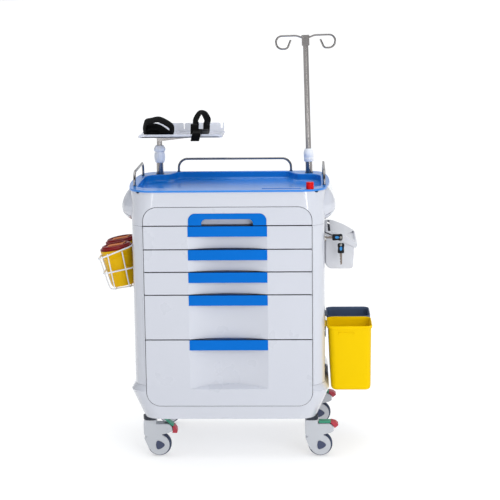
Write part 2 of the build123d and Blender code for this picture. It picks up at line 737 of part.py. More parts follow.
def build():
    """Every node as a list of its solids, about the centre of the body."""
    nodes = {
        "base_shroud": [base_shroud()],
        "top_shroud": [top_shroud()],
        "corner_columns": corner_columns(),
        "body_panels": body_panels(),
        "steel_frame": [steel_frame()],
        "drawer_slides": slide_channels(),
        "tabletop": [tabletop()],
        "guard_rails": guard_rails(),
        "lower_posts": lower_posts(),
        "iv_collar": [iv_collar()],
        "iv_pole": [iv_pole()],
        "defib_collar": [defib_collar()],
        "defib_post": [defib_post()],
        "defib_tray": [defib_tray()],
        "defib_straps": defib_straps(),
        "sharps_basket": [sharps_basket()],
        "bin_rack": [bin_rack()],
        "side_box": [side_box()],
        "side_box_lid": [side_box_lid()],
        "key_lock": [key_lock()],
        "lock_key": lock_key(),
        "spare_key": [spare_key()],
        "lock_button": [lock_button()],
        "caster_mounts": [caster_place(name) * caster_mount() for name in caster_names],
    }
    for name, y in pot_centres.items():
        nodes[name] = sharps_pot(y)
        nodes[name + "_flap"] = [sharps_flap(y)]
    for name, y in bin_centres.items():
        nodes[name] = [bin_body(y)]
    for index, name in enumerate(drawer_names):
        front, handle, tub = drawer_pieces(index)
        nodes[name + "_front"] = [front]
        nodes[name + "_handle"] = [handle]
        nodes[name + "_tub"] = [tub]
    fork, wheel = caster_fork(), caster_wheel()
    for name in caster_names:
        place = caster_place(name)
        pedal = pedal_pressed(caster_pedal()) if name == "front_left" else caster_pedal()
        nodes[name + "_fork"] = [place * fork]
        nodes[name + "_wheel"] = [place * wheel]
        nodes[name + "_pedal"] = [place * part for part in pedal]
    return nodes


def origin_shift(nodes):
    """Move from the body's centre to the middle of the overall box, on the floor."""
    solids = [solid for parts in nodes.values() for part in parts for solid in part.solids()]
    box = Compound(children=solids).bounding_box()
    return Pos(-(box.min.X + box.max.X) / 2, -(box.min.Y + box.max.Y) / 2, -box.min.Z)


def main():
    nodes = build()
    shift = origin_shift(nodes)
    os.makedirs("parts", exist_ok=True)
    for name, parts in nodes.items():
        solids = [solid for part in parts for solid in (shift * part).solids()]
        whole = solids[0] if len(solids) == 1 else Compound(children=solids)
        whole.label = name
        export_step(whole, f"parts/{name}.step")
        print(name, len(solids))
    print("shift", shift.position)


if __name__ == "__main__":
    main()
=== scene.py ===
import json
from math import acos, atan2, cos, pi, radians, sin, tan

import bmesh
import bpy
from mathutils import Matrix, Vector


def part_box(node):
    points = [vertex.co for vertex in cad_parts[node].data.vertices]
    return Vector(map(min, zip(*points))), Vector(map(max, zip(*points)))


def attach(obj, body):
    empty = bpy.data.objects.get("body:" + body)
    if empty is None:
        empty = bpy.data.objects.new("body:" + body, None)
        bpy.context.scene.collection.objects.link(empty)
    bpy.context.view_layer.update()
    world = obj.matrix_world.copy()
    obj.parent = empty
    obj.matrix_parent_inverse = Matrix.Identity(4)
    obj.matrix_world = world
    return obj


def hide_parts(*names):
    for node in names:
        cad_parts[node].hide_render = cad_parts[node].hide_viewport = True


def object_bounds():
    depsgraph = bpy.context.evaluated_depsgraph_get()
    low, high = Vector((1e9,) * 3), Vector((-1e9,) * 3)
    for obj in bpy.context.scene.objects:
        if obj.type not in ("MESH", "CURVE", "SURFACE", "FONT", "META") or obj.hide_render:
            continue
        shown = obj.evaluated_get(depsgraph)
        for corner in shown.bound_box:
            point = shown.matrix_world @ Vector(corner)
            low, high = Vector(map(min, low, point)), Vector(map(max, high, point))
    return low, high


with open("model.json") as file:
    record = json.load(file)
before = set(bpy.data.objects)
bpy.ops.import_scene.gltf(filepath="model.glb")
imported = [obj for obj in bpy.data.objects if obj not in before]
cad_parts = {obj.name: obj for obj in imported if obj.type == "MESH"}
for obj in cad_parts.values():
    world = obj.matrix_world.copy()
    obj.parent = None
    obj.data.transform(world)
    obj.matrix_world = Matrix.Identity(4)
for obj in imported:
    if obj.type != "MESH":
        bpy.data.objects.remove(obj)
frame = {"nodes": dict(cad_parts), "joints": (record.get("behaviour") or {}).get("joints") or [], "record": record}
cad_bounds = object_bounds()
nodes = frame["nodes"]
joints = {joint["name"]: joint for joint in frame["joints"]}
scene = bpy.context.scene
mm = 0.001

drawer_names = ["drawer_large", "drawer_medium", "drawer_small_c", "drawer_small_b", "drawer_small_a"]

table_low, table_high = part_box("tabletop")
body_centre = Vector(((table_low.x + table_high.x) / 2, (table_low.y + table_high.y) / 2, 0))
x_axis, y_axis, z_axis = Vector((1, 0, 0)), Vector((0, 1, 0)), Vector((0, 0, 1))


def extent(node):
    """Lowest corner, highest corner and middle of a CAD node."""
    low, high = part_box(node)
    return low, high, (low + high) / 2


# ---- materials -------------------------------------------------------------------
def new_material(name):
    """A node material, its tree and its shader."""
    material = bpy.data.materials.new(name)
    material.use_nodes = True
    return material, material.node_tree, material.node_tree.nodes["Principled BSDF"]


def set_shader(shader, **values):
    """Set sockets that are the same all over, by their names with underscores."""
    for name, value in values.items():
        shader.inputs[name.replace("_", " ")].default_value = value


def noise(tree, scale, detail=2.0, stretch=(1, 1, 1)):
    """Fractal noise in the piece's own space, with its pattern stretched per axis."""
    coordinates = tree.nodes.new("ShaderNodeTexCoord")
    mapping = tree.nodes.new("ShaderNodeMapping")
    mapping.inputs["Scale"].default_value = stretch
    texture = tree.nodes.new("ShaderNodeTexNoise")
    texture.inputs["Scale"].default_value = scale
    texture.inputs["Detail"].default_value = detail
    tree.links.new(coordinates.outputs["Object"], mapping.inputs["Vector"])
    tree.links.new(mapping.outputs["Vector"], texture.inputs["Vector"])
    return texture.outputs["Fac"]


def ranged(tree, value, low, high):
    """Map the middle of a noise onto a range of numbers."""
    node = tree.nodes.new("ShaderNodeMapRange")
    node.inputs["From Min"].default_value = 0.3
    node.inputs["From Max"].default_value = 0.7
    node.inputs["To Min"].default_value = low
    node.inputs["To Max"].default_value = high
    tree.links.new(value, node.inputs["Value"])
    return node.outputs["Result"]


def toned(tree, value, colour, tone):
    """A colour that wanders a little lighter and darker with a noise."""
    mix = tree.nodes.new("ShaderNodeMix")
    mix.data_type = "RGBA"
    mix.inputs["A"].default_value = [c * (1 - tone) for c in colour] + [1]
    mix.inputs["B"].default_value = [min(c * (1 + tone), 1) for c in colour] + [1]
    tree.links.new(ranged(tree, value, 0, 1), mix.inputs["Factor"])
    return mix.outputs["Result"]


def bumped(tree, shader, height, strength, distance):
    """Fine relief from a noise or a wave."""
    bump = tree.nodes.new("ShaderNodeBump")
    bump.inputs["Strength"].default_value = strength
    bump.inputs["Distance"].default_value = distance
    tree.links.new(height, bump.inputs["Height"])
    tree.links.new(bump.outputs["Normal"], shader.inputs["Normal"])


def plastic(name, colour, rough, tone=0.03, grain=700, strength=0.12, **sockets):
    """Moulded plastic: faint tone drift, smudged gloss and a fine moulded grain."""
    material, tree, shader = new_material(name)
    set_shader(shader, **sockets)
    smudge = noise(tree, 9, 4)
    tree.links.new(toned(tree, noise(tree, 5, 3), colour, tone), shader.inputs["Base Color"])
    tree.links.new(ranged(tree, smudge, *rough), shader.inputs["Roughness"])
    bumped(tree, shader, noise(tree, grain, 2), strength, 0.1 * mm)
    return material


def metal(name, colour, rough, stretch=(60, 60, 1)):
    """Drawn or brushed metal: long scratches along the stretch's smallest axis."""
    material, tree, shader = new_material(name)
    set_shader(shader, Metallic=1.0)
    scratches = noise(tree, 12, 3, stretch)
    tree.links.new(toned(tree, noise(tree, 14, 3), colour, 0.08), shader.inputs["Base Color"])
    tree.links.new(ranged(tree, scratches, *rough), shader.inputs["Roughness"])
    bumped(tree, shader, scratches, 0.15, 0.05 * mm)
    return material


def webbing(name, colour):
    """Woven nylon tape: cross ribs along the tape's length and a finer twill across it."""
    material, tree, shader = new_material(name)
    set_shader(shader, Sheen_Weight=0.04, Sheen_Roughness=0.4, Specular_IOR_Level=0.15)
    coordinates = tree.nodes.new("ShaderNodeTexCoord")
    heights = []
    for direction, scale in (("X", 180), ("DIAGONAL", 120)):
        wave = tree.nodes.new("ShaderNodeTexWave")
        wave.bands_direction = direction
        wave.inputs["Scale"].default_value = scale
        wave.inputs["Distortion"].default_value = 0.6
        tree.links.new(coordinates.outputs["UV"], wave.inputs["Vector"])
        heights.append(wave.outputs["Fac"])
    both = tree.nodes.new("ShaderNodeMath")
    both.operation = "MULTIPLY"
    tree.links.new(heights[0], both.inputs[0])
    tree.links.new(heights[1], both.inputs[1])
    tree.links.new(toned(tree, both.outputs["Value"], colour, 0.6), shader.inputs["Base Color"])
    tree.links.new(ranged(tree, noise(tree, 300, 3), 0.7, 0.95), shader.inputs["Roughness"])
    bumped(tree, shader, both.outputs["Value"], 0.6, 0.3 * mm)
    return material


def make_materials():
    """Every finish by the name of the record's material slot, or of the extra piece it is for."""
    white = (0.58, 0.60, 0.665)
    return {
        "shell": plastic("shell_abs", white, (0.21, 0.24), 0.006, Coat_Weight=0.8, Coat_Roughness=0.07),
        "front": plastic("drawer_front_abs", white, (0.27, 0.29), 0.006),
        "panel": plastic("powder_coat", (0.60, 0.62, 0.67), (0.38, 0.5), 0.03, 350, 0.35),
        "frame_steel": plastic("frame_powder_coat", (0.42, 0.43, 0.45), (0.4, 0.55), 0.06, 350, 0.4),
        "slide_steel": metal("zinc_plate", (0.58, 0.58, 0.60), (0.3, 0.45), (1, 50, 50)),
        "worktop": plastic("blue_worktop", (0.0, 0.20, 0.68), (0.34, 0.40), 0.03, 500, 0.1,
                           Coat_Weight=0.8, Coat_Roughness=0.22),
        "handle": plastic("blue_handle", (0.0, 0.142, 0.57), (0.4, 0.5), 0.03, Specular_IOR_Level=0.08),
        "tub": plastic("tub_abs", (0.56, 0.58, 0.63), (0.35, 0.5), 0.03),
        "stainless": metal("stainless", (0.31, 0.295, 0.29), (0.14, 0.26)),
        "collar": plastic("white_nylon", (0.90, 0.92, 0.96), (0.35, 0.5), 0.02, 900, 0.3),
        "clear_tray": plastic("clear_polycarbonate", (0.90, 0.92, 1.0), (0.12, 0.2), 0.02, 300, 0.05,
                              Transmission_Weight=0.45, IOR=1.58),
        "webbing": webbing("black_webbing", (0.0018, 0.0018, 0.0026)),
        "buckle": plastic("black_acetal", (0.007, 0.008, 0.014), (0.3, 0.45), 0.2, 900, 0.3),
        "basket": plastic("white_coated_wire", (0.76, 0.78, 0.82), (0.3, 0.42), 0.04, 1200, 0.3),
        "pot": plastic("yellow_polypropylene", (0.80, 0.46, 0.0), (0.35, 0.45), 0.04, 500, 0.2,
                       Specular_IOR_Level=0.12, Subsurface_Weight=0.05),
        "lid": plastic("dark_red_polypropylene", (0.20, 0.002, 0.003), (0.2, 0.3), 0.1,
                       Specular_IOR_Level=0.25),
        "flap": plastic("orange_polypropylene", (0.56, 0.13, 0.0), (0.3, 0.4), 0.08, Specular_IOR_Level=0.15),
        "bin_yellow": plastic("yellow_bin", (0.84, 0.56, 0.0), (0.4, 0.5), 0.02, 600, 0.25,
                              Specular_IOR_Level=0.06),
        "bin_navy": plastic("navy_bin", (0.055, 0.085, 0.155), (0.35, 0.5), 0.08, 600, 0.25),
        "box": plastic("side_box_abs", (0.61, 0.62, 0.66), (0.28, 0.4), 0.02),
        "lock": metal("nickel", (0.62, 0.61, 0.58), (0.15, 0.3), (1, 40, 40)),
        "key": plastic("black_key_head", (0.005, 0.006, 0.009), (0.35, 0.5), 0.2, 1500, 0.4,
                       Specular_IOR_Level=0.2),
        "key_blade": metal("key_blade_steel", (0.22, 0.185, 0.165), (0.2, 0.38), (40, 40, 1)),
        "key_insert": plastic("blue_insert", (0.013, 0.22, 0.56), (0.15, 0.25), 0.1),
        "button": plastic("red_button", (0.60, 0.0, 0.002), (0.2, 0.3), 0.05, Specular_IOR_Level=0.15),
        # Black strips in the gaps round the drawer fronts and the opening: painted shade that darkens the seams.
        "gap_shade": plastic("black_rubber_seal", (0.004, 0.004, 0.006), (0.6, 0.75), 0.2, 900, 0.3,
                        Specular_IOR_Level=0.2),
        "mount": plastic("dark_seal_ring", (0.012, 0.016, 0.030), (0.4, 0.6), 0.2, 900, 0.3),
        "fork": plastic("grey_nylon_hood", (0.50, 0.52, 0.56), (0.3, 0.42), 0.03, 900, 0.3),
        "wheel": plastic("navy_tread", (0.035, 0.048, 0.092), (0.45, 0.65), 0.12, 1100, 0.5),
        "cap": plastic("navy_axle_cap", (0.040, 0.052, 0.110), (0.3, 0.45), 0.08, 900, 0.3),
        "pedal": plastic("red_foot_pad", (0.42, 0.030, 0.052), (0.35, 0.5), 0.08, 900, 0.3),
        "tab": plastic("green_release_tab", (0.03, 0.28, 0.17), (0.35, 0.5), 0.08, 900, 0.3),
        "screw": metal("bright_screw", (0.60, 0.60, 0.60), (0.2, 0.35), (20, 20, 20)),
        "floor": plastic("studio_floor", (0.50, 0.503, 0.506), (0.6, 0.7), 0.01, 60, 0.02,
                         Specular_IOR_Level=0.2, Emission_Color=(1, 1, 1, 1), Emission_Strength=0.54),
    }


materials = make_materials()


def dress_cad_nodes():
    """Give every carried-over CAD node the finish of its slot."""
    for part in frame["record"]["subparts"]:
        node = nodes[part["node"]]
        for index in range(len(node.data.materials)):
            node.data.materials[index] = materials[part["material_slot"]]


# ---- mesh helpers ----------------------------------------------------------------
def finish_piece(name, bm, look, body, stands_for=(), soften=0.0, sharp_angle=38):
    """Turn a mesh in the row frame into a piece that rides on a body."""
    bmesh.ops.remove_doubles(bm, verts=bm.verts, dist=0.001 * mm)
    bmesh.ops.recalc_face_normals(bm, faces=bm.faces)
    mesh = bpy.data.meshes.new(name)
    bm.to_mesh(mesh)
    bm.free()
    mesh.shade_smooth()
    mesh.set_sharp_from_angle(angle=radians(sharp_angle))
    mesh.materials.append(materials[look])
    piece = bpy.data.objects.new(name, mesh)
    scene.collection.objects.link(piece)
    if soften:
        edges = piece.modifiers.new("soft_edges", "BEVEL")
        edges.width = soften
        edges.segments = 3
        edges.limit_method = "ANGLE"
        edges.angle_limit = radians(35)
    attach(piece, body)
    if stands_for:
        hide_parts(*stands_for)
    return piece


def rounded(corners, radii, steps=6):
    """An outline with an arc at each corner, as 2-D points."""
    if not hasattr(radii, "__len__"):
        radii = [radii] * len(corners)
    points = []
    count = len(corners)
    for index, corner in enumerate(corners):
        here = Vector(corner)
        back = (Vector(corners[index - 1]) - here).normalized()
        ahead = (Vector(corners[(index + 1) % count]) - here).normalized()
        half = acos(max(-1, min(1, back.dot(ahead)))) / 2
        if radii[index] <= 0 or abs(half - pi / 2) < 0.01:
            points.append(here)
            continue
        reach = radii[index] / tan(half)
        centre = here + (back + ahead).normalized() * (radii[index] / sin(half))
        start, end = here + back * reach - centre, here + ahead * reach - centre
        sweep = atan2(start.x * end.y - start.y * end.x, start.dot(end))
        for step in range(steps + 1):
            angle = sweep * step / steps
            turned = Matrix.Rotation(angle, 2) @ start
            points.append(centre + turned)
    return points


def prism(bm, outline, place, low, high):
    """Extrude a 2-D outline from low to high. place turns (u, v, height) into a point."""
    rings = []
    for height in (low, high):
        rings.append([bm.verts.new(place(point[0], point[1], height)) for point in outline])
    bm.faces.new(rings[0])
    bm.faces.new(rings[1])
    join_rings(bm, *rings)


def turned_ring(bm, profile, place, segments=48):
    """Revolve a closed (radius, height) profile. place turns (x, y, height) into a point."""
    rings = []
    for segment in range(segments):
        angle = 2 * pi * segment / segments
        rings.append([bm.verts.new(place(r * cos(angle), r * sin(angle), h)) for r, h in profile])
    for segment in range(segments):
        here, following = rings[segment], rings[(segment + 1) % segments]
        for index in range(len(profile)):
            after = (index + 1) % len(profile)
            bm.faces.new((here[index], here[after], following[after], following[index]))
    bmesh.ops.remove_doubles(bm, verts=bm.verts, dist=0.001 * mm)


def frame_place(origin, across, up, out):
    """A function from millimetres along three directions to a point in the row frame."""
    def place(x, y, z):
        return origin + (across * x + up * y + out * z) * mm
    return place


def along_x(origin):
    """Outlines drawn in YZ and extruded along X."""
    return frame_place(origin, y_axis, z_axis, x_axis)


def along_y(origin):
    """Outlines drawn in XZ and extruded along Y."""
    return frame_place(origin, x_axis, z_axis, y_axis)


def along_z(origin):
    """Outlines drawn in XY and extruded along Z."""
    return frame_place(origin, x_axis, y_axis, z_axis)


def turned_by(place, angle):
    """The same place, with its first two directions turned by an angle about the third."""
    c, s = cos(angle), sin(angle)
    return lambda u, v, t: place(u * c - v * s, u * s + v * c, t)


def circle(radius, count):
    """Points of a circle about the origin."""
    return [(radius * cos(2 * pi * k / count), radius * sin(2 * pi * k / count)) for k in range(count)]


def join_rings(bm, first, second):
    """Quads between two rings of the same count."""
    for index in range(len(first)):
        after = (index + 1) % len(first)
        bm.faces.new((first[index], first[after], second[after], second[index]))


def hollow_loop(bm, levels, place):
    """A closed strip round an opening, from outlines of the same count at given heights."""
    rings = [[bm.verts.new(place(x, y, height)) for x, y in outline] for outline, height in levels]
    for index in range(len(rings)):
        join_rings(bm, rings[index], rings[(index + 1) % len(rings)])


# ---- monitor straps --------------------------------------------------------------
def smooth_path(points, closed, steps=8):
    """Catmull-Rom curve through 2-D points."""
    made = []
    count = len(points)
    spans = count if closed else count - 1
    for index in range(spans):
        if closed:
            picked = [points[(index + k - 1) % count] for k in range(4)]
        else:
            picked = [points[min(max(index + k - 1, 0), count - 1)] for k in range(4)]
        p0, p1, p2, p3 = (Vector(p) for p in picked)
        for step in range(steps):
            t = step / steps
            made.append(0.5 * (2 * p1 + (p2 - p0) * t + (2 * p0 - 5 * p1 + 4 * p2 - p3) * t**2
                               + (3 * p1 - p0 - 3 * p2 + p3) * t**3))
    if not closed:
        made.append(Vector(points[-1]))
    return made


def band(bm, path, place, width, thickness, closed, lean=(0.0, 0.0)):
    """A flat tape along a 2-D path, its near edge drawn in by lean where it stands and where it lies."""
    half, edge = width / 2, thickness / 2
    section = [(-half, 0), (-half + edge, edge), (half - edge, edge), (half, 0),
               (half - edge, -edge), (-half + edge, -edge)]
    rings, lengths = [], [0.0]
    count = len(path)
    for index, point in enumerate(path):
        before = path[index - 1] if closed or index else point
        after = path[(index + 1) % count] if closed or index < count - 1 else point
        run = (after - before).normalized()
        side = Vector((-run.y, run.x))
        slope = lean[1] + (lean[0] - lean[1]) * run.y**2
        ring = []
        for across, out in section:
            spot = point + side * (out + across * slope)
            ring.append(bm.verts.new(place(spot.x, spot.y, across)))
        rings.append(ring)
        if index:
            lengths.append(lengths[-1] + (point - path[index - 1]).length)
    uv = bm.loops.layers.uv.verify()
    spans = count if closed else count - 1
    for index in range(spans):
        following = (index + 1) % count
        u0, u1 = lengths[index] * mm, (lengths[index] + (path[following] - path[index]).length) * mm
        here, there = rings[index], rings[following]
        for k in range(len(section)):
            after = (k + 1) % len(section)
            face = bm.faces.new((here[k], here[after], there[after], there[k]))
            v0, v1 = section[k][0] * mm, section[after][0] * mm
            values = [(u0, v0), (u0, v1), (u1, v1), (u1, v0)]
            for loop, value in zip(face.loops, values):
                loop[uv].uv = value
    if not closed:
        bm.faces.new(rings[0])
        bm.faces.new(rings[-1])


def strap(name, path, place, width, closed, lean, stands_for=()):
    """One webbing piece along a smooth path."""
    thickness = 2.2
    bm = bmesh.new()
    band(bm, smooth_path(path, closed), place, width, thickness, closed, lean)
    return finish_piece(name, bm, "webbing", "defib_arm", stands_for)


def monitor_straps():
    """Webbing loops that hold the monitor, standing on the tray."""
    low, high, middle = extent("defib_straps")
    corner = Vector((low.x, middle.y, low.z))
    place = along_y(corner)
    # The wide low loop: an outer turn, a second turn that crosses inside it, and its folded tongue.
    outer = [(15, 2), (8, 12), (7, 24), (10, 36), (14, 44), (29, 47), (48, 51), (62, 48.5), (80, 39),
             (94, 28), (96, 15), (90, 3.5), (62, 1.6), (36, 1.6)]
    strap("strap_low_outer", outer, place, 32, True, (0.4, 0.5), ["defib_straps"])
    second = [(7, 4), (10, 20), (20, 28), (36, 29.5), (52, 26), (66, 18.5), (79, 9), (88, 3.4)]
    strap("strap_low_second", second, place, 30, False, (0.4, 0.5))
    tongue = [(12, 3), (16, 10), (30, 14), (46, 12), (60, 6), (68, 3.4)]
    strap("strap_low_tongue", tongue, along_y(corner + Vector((0, -3, 0)) * mm), 28, False, (0.4, 0.45))
    # The tall loop stands at the tray's middle, with its folded end and buckle in front.
    ring_centre = Vector((high.x - 32 * mm, middle.y, low.z))
    place = along_y(ring_centre)
    ring = [(-12, 1.6), (-19, 7), (-20, 24), (-18.5, 40), (-17, 50), (-9, 65), (0, 73), (10, 69.5),
            (17.5, 58), (21, 47), (18, 36), (17, 20), (15, 6), (8, 1.6)]
    strap("strap_tall_ring", ring, place, 34, True, (0.56, 0.32))
    lining = [(-13, 4), (-17, 12), (-17, 30), (-14, 44)]
    strap("strap_tall_lining", lining, place, 32, False, (0.5, 0.3))
    strap_buckle(ring_centre)
    strap_ends(ring_centre)


def strap_buckle(centre):
    """Ladder-lock buckle that leans back on the tray in front of the tall loop."""
    rise = Vector((0, 20, 16)).normalized()
    origin = centre + Vector((9.5, -31, 2)) * mm
    place = frame_place(origin, x_axis, rise, x_axis.cross(rise))
    bm = bmesh.new()
    prism(bm, rounded([(-16, 0), (16, 0), (15, 27), (-15, 27)], 4), place, -2.6, 1.6)
    finish_piece("strap_buckle", bm, "buckle", "defib_arm", soften=1.0 * mm)
    bm = bmesh.new()
    for level in (6, 13.5, 21):
        bar = rounded([(-13, level - 1.8), (13, level - 1.8), (13, level + 1.8), (-13, level + 1.8)], 1.5)
        prism(bm, bar, place, 1.2, 3.4)
    finish_piece("strap_buckle_bars", bm, "buckle", "defib_arm", soften=0.5 * mm)


def strap_ends(centre):
    """The folded end in front of the tall loop, and the free tail over the tray's front lip."""
    lip = (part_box("defib_tray")[0].y - centre.y) / mm

    def hung(x, skew):
        flat = along_x(centre + Vector((x, 0, 0)) * mm)
        return lambda u, v, across: flat(u, v, across + (v - 20) * skew)

    fold = [(-12, 36), (-21, 33), (-26, 22), (-31, 12), (-38, 7), (lip + 7, 4)]
    strap("strap_tall_fold", fold, hung(-19.5, 0.0), 27, False, (0, 0))
    tail = [(-20, 20), (-32, 15), (-40, 12.5), (lip - 1, 10.5), (lip - 5, 6), (lip - 6, -2),
            (lip - 5.5, -8), (lip - 4.5, -15)]
    strap("strap_tall_tail", tail, hung(-9, 0.26), 28, False, (0, 0))


# ---- monitor tray ----------------------------------------------------------------
def monitor_tray():
    """Clear tray: a plate with round corners, a front lip and a rear wall with a slit and a notch."""
    low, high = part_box("defib_tray")
    tray_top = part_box("defib_straps")[0].z
    width, depth = (high.x - low.x) / mm, (high.y - low.y) / mm
    lift, top = (tray_top - low.z) / mm, (high.z - low.z) / mm
    bm = bmesh.new()
    plate = rounded([(3, 0), (width - 3, 0), (width - 3, depth), (3, depth)], 12)
    prism(bm, plate, along_z(low), 0.3, lift - 0.2)
    finish_piece("monitor_tray_plate", bm, "clear_tray", "defib_arm", ["defib_tray"],
                 soften=0.6 * mm)
    bm = bmesh.new()
    lip = rounded([(7, 0.4), (width - 7, 0.4), (width - 5, 11), (5, 11)], [4, 4, 3, 3])
    prism(bm, lip, along_y(low), 0, 3)
    finish_piece("monitor_tray_lip", bm, "clear_tray", "defib_arm", soften=0.6 * mm)
    slit, notch = width - 140, width - 17
    wall = [(6, 0.4), (width - 7, 0.4), (width - 5, top), (width - 9.5, top), (width - 9.5, 15),
            (notch, 15), (notch, top), (slit + 3, top), (slit + 3, 12), (slit, 12), (slit, top), (10, top),
            (3, 14)]
    bends = [4, 6, 1.5, 1.5, 3, 3, 6, 5, 1.2, 1.2, 5, 8, 6]
    bm = bmesh.new()
    prism(bm, rounded(wall, bends, 5), along_y(Vector((low.x, high.y, low.z))), -3, 0)
    finish_piece("monitor_tray_wall", bm, "clear_tray", "defib_arm", soften=0.6 * mm)


# ---- clamp collars ---------------------------------------------------------------
post_bore, pole_bore = 11.6, 9.4


def closed_profile(outer, bore, start=0.0):
    """A hollow turned profile from a height: the outer line, then back down the bore."""
    raised = [(radius, height + start) for radius, height in outer]
    return raised + [(bore, raised[-1][1]), (bore, raised[0][1])]


def axis_place(origin, axis):
    """Places turned parts whose axis leans in the XZ plane."""
    axis = Vector(axis).normalized()
    side = Vector((axis.z, 0, -axis.x))
    return frame_place(Vector(origin), side, Vector((0, 1, 0)), axis)


def iv_clamp_collar():
    """White clamp collar: a plain sleeve, a bead and a coned top."""
    foot = Vector(joints["iv_swivel"]["pos_m"])
    axis = joints["iv_swivel"]["axis"]
    start = (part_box("iv_collar")[0].z - foot.z) / mm + 0.4
    place = axis_place(foot, axis)
    outer = [(13.6, 0), (14.8, 0.8), (15.4, 4), (16, 6), (16, 13), (15.5, 13.6), (15.5, 14.6), (16, 15.2),
             (16, 30), (15.2, 33), (13.6, 38), (12.8, 41.2), (11.6, 42)]
    bm = bmesh.new()
    turned_ring(bm, closed_profile(outer, post_bore, start), place)
    finish_piece("iv_collar_sleeve", bm, "collar", "iv_collar", ["iv_collar"], sharp_angle=50)
    bm = bmesh.new()
    top = start + 42
    turned_ring(bm, closed_profile([(12.4, top - 1.2), (12.2, top + 0.4), (11, top + 1)], pole_bore), place)
    finish_piece("iv_collar_bush", bm, "collar", "iv_collar", sharp_angle=50)


def defib_clamp_collar():
    """Clamp collar of the monitor arm: a ribbed tapering body under a wider nut."""
    foot = Vector(joints["defib_swivel"]["pos_m"])
    start = (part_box("defib_collar")[0].z - foot.z) / mm
    place = axis_place(foot, (0, 0, 1))
    body = [(12.9, 0), (14, 0.6), (15.2, 3), (16.4, 7), (17.2, 14), (17, 22), (16.4, 30), (16, 35),
            (15, 36.5)]
    bm = bmesh.new()
    turned_ring(bm, closed_profile(body, post_bore, start), place)
    finish_piece("defib_collar_body", bm, "collar", "defib_collar", ["defib_collar"],
                 sharp_angle=50)
    nut = [(14.6, 37), (17.2, 38), (18.4, 40), (18.5, 45), (18, 48), (15.6, 53), (13.4, 56.2), (12, 57)]
    bm = bmesh.new()
    turned_ring(bm, closed_profile(nut, pole_bore, start), place)
    finish_piece("defib_collar_nut", bm, "collar", "defib_collar", sharp_angle=50)
    collar_ribs("defib_collar_ribs", foot, 16, (1.3, start + 12, start + 29, 1.2), (15, 17.9))
    collar_ribs("defib_collar_nut_grips", foot, 20, (1.6, start + 39.6, start + 46.5, 1.4), (17, 19.1))


def collar_ribs(name, foot, count, flank, reach):
    """Upright grip ribs round a collar. flank holds half width, bottom, top and corner radius."""
    half, bottom, top, radius = flank
    outline = rounded([(-half, bottom), (half, bottom), (half, top), (-half, top)], radius, 4)
    bm = bmesh.new()
    for rib in range(count):
        angle = 2 * pi * rib / count
        out, side = Vector((cos(angle), sin(angle), 0)), Vector((-sin(angle), cos(angle), 0))
        prism(bm, outline, frame_place(foot, side, z_axis, out), *reach)
    finish_piece(name, bm, "collar", "defib_collar", soften=0.4 * mm)


# ---- sharps pots -----------------------------------------------------------------
def sharps_frame(name):
    """Point and axes of a pot's foot, from its lift axis and its flap's hinge."""
    axis = Vector(joints[name + "_lift"]["axis"])
    side = Vector((axis.z, 0, -axis.x))
    hinge = Vector(joints[name + "_flap_hinge"]["pos_m"])
    hinge_out, hinge_up = 28, 131.6
    foot = hinge - (side * hinge_out + axis * hinge_up) * mm
    return frame_place(foot, side, Vector((0, 1, 0)), axis)


def sharps_pot(name):
    """Yellow pot with beads and a foot ring, and its screwed dark red lid."""
    place = sharps_frame(name)
    outer = [(20, 0.8), (34.6, 0.8), (36.2, 0.2), (37.0, 2), (37.4, 6), (41.6, 44), (42.4, 45), (42.6, 47),
             (42.1, 48), (47.2, 94), (48.6, 95), (48.9, 97.4), (48, 98.6), (49.3, 110), (51.3, 111),
             (51.8, 113), (51.5, 117.6), (50.6, 118.2)]
    inner = [(47.8, 118), (45.5, 95), (35, 4), (20, 3)]
    bm = bmesh.new()
    turned_ring(bm, outer + inner, place, 72)
    bmesh.ops.holes_fill(bm, edges=[e for e in bm.edges if e.is_boundary], sides=0)
    finish_piece(name + "_tub", bm, "pot", name, [name], sharp_angle=50)
    bm = bmesh.new()
    floor_ring = [(0.01, 0.9), (20.4, 0.9), (20.4, 3.1), (0.01, 3.1)]
    turned_ring(bm, floor_ring, place, 72)
    finish_piece(name + "_floor", bm, "pot", name, sharp_angle=50)
    sharps_lid(name, place)


def sharps_lid(name, place):
    """Lid: a skirt that rises to a ring, grip ribs round it, and a disc with a rectangular drop slot."""
    skirt = [(50.2, 118.6), (50.4, 123.2), (49.6, 124.6), (46.8, 125.8), (45.4, 128.6), (43.6, 130.8),
             (40.5, 131.6), (37.6, 131.4), (36.8, 129), (36.8, 118.6)]
    bm = bmesh.new()
    turned_ring(bm, skirt, place, 72)
    finish_piece(name + "_lid_rim", bm, "lid", name, sharp_angle=40)
    grip_count = 36
    grip = rounded([(-1.2, 119), (1.2, 119), (1.2, 123.4), (-1.2, 123.4)], 1, 3)
    bm = bmesh.new()
    for rib in range(grip_count):
        turned = turned_by(place, 2 * pi * rib / grip_count)
        prism(bm, grip, lambda u, v, t, spot=turned: spot(t, u, v), 49.6, 51.3)
    finish_piece(name + "_lid_grips", bm, "lid", name)
    # The disc inside the rim, with its slot left open.
    count, slot_half_length, slot_half_width = 64, 22, 17
    edge, slot = circle(41.4, count), []
    for index in range(count):
        angle = 2 * pi * index / count
        reach = 1 / max(abs(cos(angle)) / slot_half_length, abs(sin(angle)) / slot_half_width)
        slot.append((reach * cos(angle), reach * sin(angle)))
    bm = bmesh.new()
    hollow_loop(bm, [(edge, 126.2), (edge, 128.8), (slot, 128.8), (slot, 126.2)], place)
    finish_piece(name + "_lid_disc", bm, "lid", name, sharp_angle=40)


